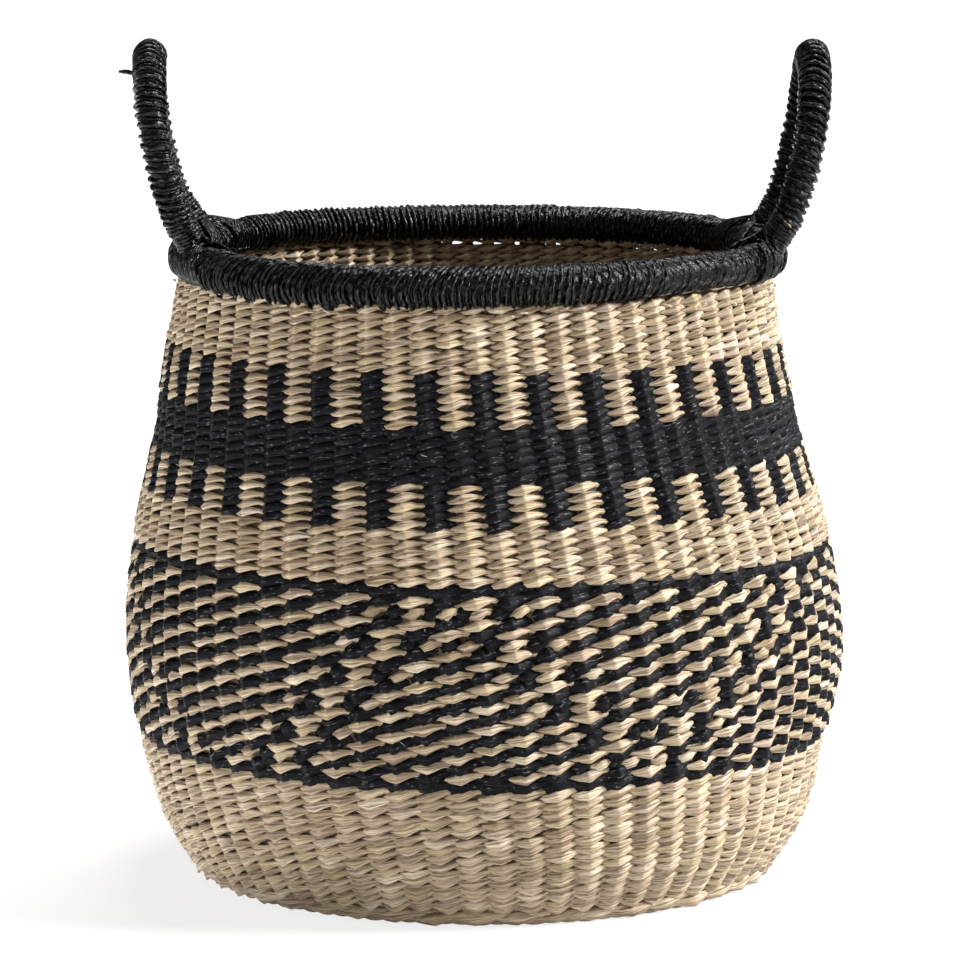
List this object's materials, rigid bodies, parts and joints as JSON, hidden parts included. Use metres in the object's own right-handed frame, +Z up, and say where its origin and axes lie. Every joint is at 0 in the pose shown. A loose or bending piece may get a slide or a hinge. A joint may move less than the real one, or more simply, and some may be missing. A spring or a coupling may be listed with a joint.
{
  "type": "woven storage basket with handles",
  "caption": "Round-bellied basket of twined seagrass with black patterned bands, a lashed rim and arched handles that lean at their bound feet.",
  "frame": {"origin": "on the floor, under the middle of the basket's belly", "axes": "+Z up, +X towards the right handle, -Y towards the viewer of the picture"},
  "size_m": [0.3588, 0.36, 0.4159],
  "materials": {
    "seagrass_natural": "dry undyed seagrass strands, matt with a faint sheen",
    "seagrass_two_colour": "one black and one undyed seagrass strand twined together",
    "seagrass_black": "seagrass dyed blue-black, slight sheen",
    "lashing_black": "black twisted cord, wound tight, slight sheen",
    "split_cane": "peeled split cane, hidden"
  },
  "bodies": {
    "basket": {"base_weave": "seagrass_natural", "foot_wale": "seagrass_natural", "base_spokes": "split_cane", "inner_weave": "seagrass_natural", "side_stakes": "split_cane", "lower_natural_band": "seagrass_natural", "lower_black_border": "seagrass_black", "patterned_belly_band": "seagrass_two_colour", "upper_black_border": "seagrass_black", "middle_natural_band": "seagrass_natural", "black_toothed_band": "seagrass_black", "top_natural_band": "seagrass_natural", "rim_hoop": "split_cane", "rim_lashing": "lashing_black"},
    "handle_right": {"handle_core_right": "split_cane", "handle_wrap_right": "lashing_black", "root_binding_right_front": "lashing_black", "root_binding_right_back": "lashing_black"},
    "handle_left": {"handle_core_left": "split_cane", "handle_wrap_left": "lashing_black", "root_binding_left_front": "lashing_black", "root_binding_left_back": "lashing_black"}
  },
  "joints": [
    {"name": "handle_right_lean", "type": "hinge", "parent": "basket", "child": "handle_right", "pos_m": [0.13786, 0, 0.30966], "axis": [0, 1, 0], "range_deg": [-15, 12]},
    {"name": "handle_left_lean", "type": "hinge", "parent": "basket", "child": "handle_left", "pos_m": [-0.13786, 0, 0.30966], "axis": [0, -1, 0], "range_deg": [-15, 12]}
  ]
}
